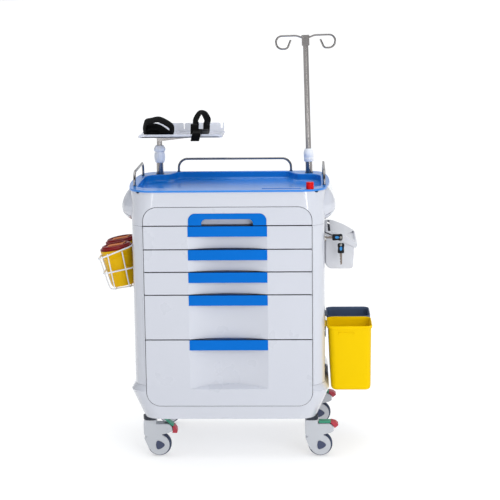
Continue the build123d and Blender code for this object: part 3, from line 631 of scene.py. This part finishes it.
def sharps_flap(name):
    """Orange drop flap with a raised border and its three hinge knuckles."""
    place = sharps_frame(name)
    flap = name + "_flap"
    bm = bmesh.new()
    prism(bm, rounded([(-26, -20), (26.5, -20), (26.5, 20), (-26, 20)], [9, 2, 2, 9]), place, 129.2, 130.3)
    finish_piece(flap + "_plate", bm, "flap", flap, [flap], soften=0.4 * mm)
    bm = bmesh.new()
    ring = rounded([(-22, -16), (21, -16), (21, 16), (-22, 16)], [7, 2, 2, 7])
    inner = rounded([(-20, -14), (19, -14), (19, 14), (-20, 14)], [5.5, 1.5, 1.5, 5.5])
    hollow_loop(bm, [(ring, 130.2), (ring, 130.9), (inner, 130.9), (inner, 130.2)], place)
    finish_piece(flap + "_border", bm, "flap", flap, soften=0.3 * mm)
    bm = bmesh.new()
    axis = Vector(joints[name + "_lift"]["axis"])
    barrel = frame_place(place(28, 0, 131.6), axis, Vector((axis.z, 0, -axis.x)), y_axis)
    for start, end in ((-19, -8), (-6, 6), (8, 19)):
        turned_ring(bm, [(1.0, start), (2.2, start), (2.2, end), (1.0, end)], barrel, 20)
    finish_piece(flap + "_knuckles", bm, "flap", flap)


# ---- bins ------------------------------------------------------------------------
def bridge_rings(bm, rings):
    """Join rings of the same count by quads, and close the first and the last."""
    for low, high in zip(rings, rings[1:]):
        join_rings(bm, low, high)
    bm.faces.new(rings[0])
    bm.faces.new(rings[-1])


def waste_bin(name, slot):
    """A bin with an upright outer side, rounded foot, lipped rim and a clip outline below it."""
    low, high, middle = extent(name)
    half = (high.y - low.y) / 2 / mm
    height = (high.z - low.z) / mm
    foot = Vector((high.x - half * mm, middle.y, low.z))
    # Each level: height, inset of the cart's side, of the other three sides, corner radius.
    outside = [(0.4, 26, 16, 10), (1.2, 20, 10.5, 14), (4, 15.5, 7, 17), (9, 13.2, 5.2, 18),
               (15, 12.2, 4.6, 19), (height - 11, 4.4, 3.2, 20), (height - 9, 3.6, 2.6, 20),
               (height - 8.4, 0.6, 0.3, 22), (height - 1.2, 0.3, 0.1, 22), (height, 1.0, 0.9, 21.5)]
    inside = [(height, 2.4, 2.2, 20.5), (height - 1.4, 3.4, 3.2, 20), (height - 9, 6.4, 5.4, 18),
              (16, 14.8, 7.4, 16), (8, 16.5, 9.4, 14), (4, 21, 14, 10)]
    bm = bmesh.new()
    place = along_z(foot)
    rings = []
    for level, inner, outer, radius in outside + inside:
        near, far = -half + inner, half - outer
        outline = rounded([(near, -far), (far, -far), (far, far), (near, far)], radius, 6)
        rings.append([bm.verts.new(place(x, y, level)) for x, y in outline])
    bridge_rings(bm, rings)
    finish_piece(name + "_shell", bm, slot, name, [name])
    place = along_y(Vector((foot.x, low.y, high.z)))
    bars = [((-36, -34), (-33.6, -13)), ((-36, -22.4), (14, -20)), ((11.6, -34), (14, -20))]
    bm = bmesh.new()
    for (x0, z0), (x1, z1) in bars:
        prism(bm, rounded([(x0, z0), (x1, z0), (x1, z1), (x0, z1)], 0.8, 3), place, 2.2, 4.4)
    finish_piece(name + "_clip_outline", bm, slot, name, soften=0.4 * mm)
    bm = bmesh.new()
    tip, root = (low.x - foot.x) / mm + 0.2, -half + 1.5
    hook = [(tip, -18), (tip + 1.3, -18), (tip + 1.3, -7), (root, -7), (root, -5), (tip, -5)]
    prism(bm, rounded(hook, 0.4, 3), along_y(Vector((foot.x, foot.y, high.z))), -40, 40)
    finish_piece(name + "_hook", bm, slot, name)


# ---- painted seam shade ----------------------------------------------------------
def drawer_gap_shade_strips():
    """Black strips in the gaps round the drawer fronts, a little behind their faces: painted shade that darkens
    the seams.
    """
    set_back, depth, gap = 2.5, 4.0, 1.5
    end_clearance, opening_radius = 3, 45
    near, far = set_back, set_back + depth
    for name in drawer_names:
        low, high, middle = extent(name + "_front")
        reach = (high.x - low.x) / 2 / mm - end_clearance
        outline = rounded([(-reach, near), (reach, near), (reach, far), (-reach, far)], 0.6, 3)
        bm = bmesh.new()
        prism(bm, outline, along_z(Vector((middle.x, low.y, high.z))), 0.05, 2 * gap - 0.9)
        finish_piece(name + "_seal", bm, "gap_shade", name)
    # The black ring round the whole drawer opening is painted shade in that gap as well.
    low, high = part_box(drawer_names[0] + "_front")[0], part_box("top_tray_front")[1]
    half, bottom, top = (high.x - low.x) / 2 / mm + gap, -gap, (high.z - low.z) / mm + gap
    outer, inner = 0.1, 1.25
    levels = []
    for offset, level in ((outer, near), (outer, far), (inner, far), (inner, near)):
        x, z0, z1 = half - offset, bottom + offset, top - offset
        outline = rounded([(-x, z0), (x, z0), (x, z1), (-x, z1)], opening_radius - offset, 12)
        levels.append((outline, level))
    bm = bmesh.new()
    hollow_loop(bm, levels, along_y(Vector((body_centre.x, low.y, low.z))))
    finish_piece("opening_seal", bm, "gap_shade", "root")


# ---- keys ------------------------------------------------------------------------
key_length, key_eye_inset = 68, 5


def key(body, tip, along, across):
    """One cabinet key: notched steel blade, waisted black head and a blue oval insert."""
    place = frame_place(tip, along, across, along.cross(across))
    head_start, head_end = 36, key_length
    waist = (head_start + head_end) / 2
    blade = [(0.5, -2.4), (2.5, -3.6), (40, -3.6), (40, 3.6), (26, 3.6), (24, 2.2), (21, 2.2), (19.5, 3.4),
             (17, 3.4), (15, 1.6), (12, 1.6), (10.5, 3.0), (8, 3.0), (6, 1.4), (3.5, 1.4), (1.5, 2.6),
             (0.5, 2.2)]
    bm = bmesh.new()
    prism(bm, blade, place, -1.1, 1.1)
    finish_piece(body + "_blade", bm, "key_blade", body, soften=0.25 * mm)
    head = [(head_start, -10.5), (waist, -9.2), (head_end, -11.5), (head_end, 11.5), (waist, 9.2),
            (head_start, 10.5)]
    bm = bmesh.new()
    prism(bm, rounded(head, [4, 30, 5.5, 5.5, 30, 4]), place, -2.6, 2.6)
    finish_piece(body + "_head", bm, "key", body, [body], soften=1.2 * mm)
    bm = bmesh.new()
    oval = [(waist - 1 + 6.6 * x, 4.0 * y) for x, y in circle(1, 28)]
    prism(bm, oval, place, -3.0, 3.0)
    finish_piece(body + "_insert", bm, "key_insert", body, soften=0.35 * mm)
    bm = bmesh.new()
    eye = lambda x, y, h: place(head_end - key_eye_inset + x, y, h)
    turned_ring(bm, [(1.9, -2.75), (3.3, -2.75), (3.3, 2.75), (1.9, 2.75)], eye, 24)
    finish_piece(body + "_eyelet", bm, "lock", body, soften=0.2 * mm)


def keys_and_ring():
    """The key in the lock, its split ring and the spare that hangs from it."""
    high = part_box("lock_key")[1]
    lock_pos = Vector(joints["lock_key_turn"]["pos_m"])
    key("lock_key", Vector((high.x - key_length * mm, lock_pos.y, lock_pos.z)), x_axis, z_axis)
    spare_low, spare_high, spare_middle = extent("spare_key")
    key("spare_key", Vector((spare_middle.x, spare_middle.y, spare_low.z)), z_axis, -x_axis)
    top, bottom = lock_pos.z, spare_high.z - key_eye_inset * mm
    place = along_x(Vector((high.x - key_eye_inset * mm, lock_pos.y, (top + bottom) / 2)))
    radius, wire, half_pitch = (top - bottom) / 2 / mm, 0.4, 0.42
    bm = bmesh.new()
    for shift in (-half_pitch, half_pitch):
        turned_ring(bm, [(radius + x, shift + y) for x, y in circle(wire, 8)], place, 56)
    finish_piece("key_ring", bm, "lock", "lock_key")


def lock_details():
    """Dished washer round the cylinder lock."""
    _, high, middle = extent("key_lock")
    place = along_x(Vector((high.x, middle.y, middle.z)))
    bm = bmesh.new()
    turned_ring(bm, [(11.0, -4.6), (12.6, -4.4), (12.9, -3.6), (12.2, -3.0), (11.0, -2.8)], place, 48)
    finish_piece("lock_washer", bm, "lock", "root")


# ---- casters ---------------------------------------------------------------------
def caster_details(name):
    """Axle caps, pivot pin heads, hub rims and the two-colour pedal of one caster."""
    axle = extent(name + "_wheel")[2]
    fork_low, fork_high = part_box(name + "_fork")
    swivel = name + "_swivel"
    corner_radius, corner_reach, bulge = 6.5, 9.0, 1.2
    outline = []
    for corner in range(3):
        middle = 2 * pi * corner / 3
        centre = Vector((cos(middle), sin(middle))) * corner_reach
        for step in range(-6, 7):
            angle = middle + radians(60) * step / 6
            outline.append(centre + Vector((cos(angle), sin(angle))) * corner_radius)
        between = middle + pi / 3
        reach = corner_reach / 2 + corner_radius + bulge
        outline.append((reach * cos(between), reach * sin(between)))
    bm = bmesh.new()
    for face_y, way in ((fork_low.y, -1), (fork_high.y, 1)):
        place = along_y(Vector((axle.x + 2 * mm, face_y, axle.z)))
        prism(bm, outline, place, -0.4 * way, 1.3 * way)
    finish_piece(name + "_axle_caps", bm, "cap", swivel, soften=0.7 * mm)
    hinge = Vector(joints[name + "_pedal_press"]["pos_m"])
    bm = bmesh.new()
    for face_y, way in ((fork_low.y, -1), (fork_high.y, 1)):
        place = frame_place(Vector((hinge.x, face_y, hinge.z)), x_axis, z_axis, y_axis * way)
        turned_ring(bm, [(0.01, -0.5), (3.0, -0.5), (3.0, 0.2), (2.4, 0.7), (0.01, 0.7)], place, 24)
    finish_piece(name + "_pivot_heads", bm, "fork", swivel)
    caster_pedal(name, hinge)
    hub_faces(name, axle)


def hub_faces(name, axle):
    """Spoked hub on both sides of the wheel, inside the tread."""
    wheel = name + "_wheel"
    low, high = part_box(wheel)
    half, proud = (high.y - low.y) / 2 / mm, 0.5
    rim = [(26.5, half - proud), (28.5, half - proud), (28.2, half + proud), (26.8, half + proud)]
    outline = rounded([(8, -2), (27, -1.4), (27, 1.4), (8, 2)], 0.8, 3)
    bm = bmesh.new()
    for way in (-1, 1):
        place = frame_place(axle, x_axis, z_axis, y_axis * way)
        turned_ring(bm, rim, place, 48)
        for spoke in range(6):
            prism(bm, outline, turned_by(place, pi * spoke / 3), half - 0.4, half + proud)
    finish_piece(name + "_hub_faces", bm, "fork", wheel)


def caster_pedal(name, hinge):
    """Ribbed green release tab and red foot pad, turned with the pedal's rest angle."""
    body = name + "_pedal"
    turn = radians(-joints[name + "_pedal_press"]["range_deg"][0])
    c, s = cos(turn), sin(turn)
    place = frame_place(hinge, Vector((c, 0, -s)), Vector((s, 0, c)), y_axis)
    tab = rounded([(-29, 25.5), (9, 25.5), (9, 20), (-29, 20)], [2, 0.5, 0.5, 1])
    bm = bmesh.new()
    prism(bm, tab, place, -13, 13)
    for x in (-24, -18, -12):
        prism(bm, rounded([(x, 25.2), (x + 2.4, 25.2), (x + 2.4, 26.0), (x, 26.0)], 0.3, 2), place, -10, 10)
    finish_piece(name + "_pedal_tab", bm, "tab", body, [body], soften=0.5 * mm)
    pad = rounded([(9, 26), (24, 22.5), (34, 14), (20, 3), (19, 9), (14, 15.5), (9, 19.5)],
                  [1.5, 7, 3, 1.5, 2, 2, 0.5])
    bm = bmesh.new()
    prism(bm, pad, place, -16, 16)
    finish_piece(name + "_pedal_pad", bm, "pedal", body, soften=0.9 * mm)
    bm = bmesh.new()
    tongue = rounded([(-2, 3), (14, 20), (24, 12), (3, -3)], 1)
    prism(bm, tongue, place, -9.4, 9.4)
    turned_ring(bm, [(2.4, -9.4), (5.5, -9.4), (5.5, 9.4), (2.4, 9.4)], place, 28)
    finish_piece(name + "_pedal_tongue", bm, "pedal", body)


# ---- screws ----------------------------------------------------------------------
def screw(bm, spot, out, radius):
    """A pan head with a cross recess, standing proud along out."""
    side = out.orthogonal().normalized()
    place = frame_place(spot, side, out.cross(side), out)
    count = 24
    dome = [(1, 0), (0.98, 0.2), (0.75, 0.45), (0.5, 0.55)]
    rings = []
    for spread, rise in dome:
        rings.append([bm.verts.new(place(x, y, rise * radius)) for x, y in circle(spread * radius, count)])
    for low, high in zip(rings, rings[1:]):
        join_rings(bm, low, high)
    cross, arm = radius * 0.16, radius * 0.42
    recess = [(arm, -cross), (arm, cross), (cross, cross), (cross, arm), (-cross, arm), (-cross, cross),
              (-arm, cross), (-arm, -cross), (-cross, -cross), (-cross, -arm), (cross, -arm), (cross, -cross)]
    top = [bm.verts.new(place(x, y, radius * 0.58)) for x, y in recess]
    floor = [bm.verts.new(place(x, y, radius * 0.2)) for x, y in recess]
    join_rings(bm, top, floor)
    bm.faces.new(floor)
    edges = [e for e in bm.edges if e.is_boundary and (e.verts[0] in rings[-1] or e.verts[0] in top)]
    bmesh.ops.bridge_loops(bm, edges=edges)
    bottom = [bm.verts.new(place(x, y, -0.4)) for x, y in circle(radius, count)]
    join_rings(bm, bottom, rings[0])
    bm.faces.new(bottom)


def back_panel_screws():
    """Screws down both edges of the back panel."""
    low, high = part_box("corner_columns")
    row_half_width, head_radius = 232, 4
    first, pitch = 0.06, 0.22
    bm = bmesh.new()
    for way in (-1, 1):
        x = body_centre.x + way * row_half_width * mm
        for step in range(5):
            z = low.z + (first + pitch * step) * (high.z - low.z)
            screw(bm, Vector((x, high.y, z)), y_axis, head_radius)
    finish_piece("back_panel_screws", bm, "screw", "root")


# ---- studio ----------------------------------------------------------------------
def soft_light(name, place, size, power, mirrored=True):
    """A soft box that faces the middle of the cart, and shows at most in its gloss."""
    light = bpy.data.lights.new(name, "AREA")
    light.shape = "RECTANGLE"
    light.size, light.size_y = size
    light.energy = power
    lamp = bpy.data.objects.new(name, light)
    lamp.location = body_centre + Vector(place)
    facing = body_centre + Vector((0, 0, 0.5)) - lamp.location
    lamp.rotation_euler = facing.to_track_quat("-Z", "Y").to_euler()
    lamp.visible_camera = False
    lamp.visible_glossy = mirrored
    scene.collection.objects.link(lamp)


def math_node(tree, operation, first, second):
    """One sum, product or power, of sockets or plain numbers."""
    node = tree.nodes.new("ShaderNodeMath")
    node.operation = operation
    for socket, value in zip(node.inputs, (first, second)):
        if hasattr(value, "is_linked"):
            tree.links.new(value, socket)
        else:
            socket.default_value = value
    return node.outputs["Value"]


def studio_sky():
    """Soft surroundings: bright overhead and behind the cart, dim behind the viewer."""
    ambient, overhead, backdrop = 0.08, 2.5, 0.55
    world = bpy.data.worlds.new("studio_world")
    scene.world = world
    world.use_nodes = True
    tree = world.node_tree
    coordinates = tree.nodes.new("ShaderNodeTexCoord")
    split = tree.nodes.new("ShaderNodeSeparateXYZ")
    tree.links.new(coordinates.outputs["Generated"], split.inputs["Vector"])
    rise = math_node(tree, "POWER", math_node(tree, "MAXIMUM", split.outputs["Z"], 0.0), 4.0)
    rear = math_node(tree, "MAXIMUM", split.outputs["Y"], 0.0)
    glow = math_node(tree, "ADD", math_node(tree, "MULTIPLY", rise, overhead), ambient)
    glow = math_node(tree, "ADD", glow, math_node(tree, "MULTIPLY", rear, backdrop))
    background = tree.nodes["Background"]
    background.inputs["Color"].default_value = (0.97, 0.985, 1.0, 1)
    tree.links.new(glow, background.inputs["Strength"])


def studio():
    """Pale floor, soft surroundings, a large soft box at the right and two low strips."""
    studio_sky()
    mesh = bpy.data.meshes.new("floor")
    bm = bmesh.new()
    bmesh.ops.create_circle(bm, cap_ends=True, radius=120, segments=64)
    bm.to_mesh(mesh)
    bm.free()
    mesh.materials.append(materials["floor"])
    floor = bpy.data.objects.new("floor", mesh)
    floor.location.z = cad_bounds[0].z - 0.5 * mm
    scene.collection.objects.link(floor)
    soft_light("key_box", (2.0, -3.45, 1.9), (2.5, 2.5), 74, mirrored=False)
    soft_light("left_strip", (-0.94, -3.83, 0.52), (0.25, 0.8), 3)
    soft_light("right_strip", (1.86, -3.83, 0.52), (0.35, 0.8), 8)
    scene.view_settings.view_transform = "Standard"


def camera():
    """Camera at the reference viewing angle, placed from the middle of the body."""
    data = bpy.data.cameras.new("camera")
    data.sensor_width = 36.0
    data.lens = 108.5
    data.clip_end = 400
    yaw, pitch, roll = radians(2.147), radians(10.204), radians(-0.66)
    right = Vector((cos(yaw), sin(yaw), 0))
    forward = Vector((-sin(yaw) * cos(pitch), cos(yaw) * cos(pitch), -sin(pitch)))
    up = Vector((-sin(yaw) * sin(pitch), cos(yaw) * sin(pitch), cos(pitch)))
    right, up = right * cos(roll) + up * sin(roll), up * cos(roll) - right * sin(roll)
    turn = Matrix((right, up, -forward)).transposed().to_4x4()
    spot = body_centre + Vector((0.2392, -4.7693, 1.4876))
    viewer = bpy.data.objects.new("camera", data)
    viewer.matrix_world = Matrix.Translation(spot) @ turn
    scene.collection.objects.link(viewer)
    scene.camera = viewer


camera()
studio()
dress_cad_nodes()
monitor_straps()
monitor_tray()
iv_clamp_collar()
defib_clamp_collar()
for sharps_name in ("sharps_front", "sharps_rear"):
    sharps_pot(sharps_name)
    sharps_flap(sharps_name)
for bin_name, bin_slot in (("bin_front", "bin_yellow"), ("bin_rear", "bin_navy")):
    waste_bin(bin_name, bin_slot)
drawer_gap_shade_strips()
keys_and_ring()
lock_details()
for caster_name in ("front_left", "front_right", "rear_left", "rear_right"):
    caster_details(caster_name)
back_panel_screws()
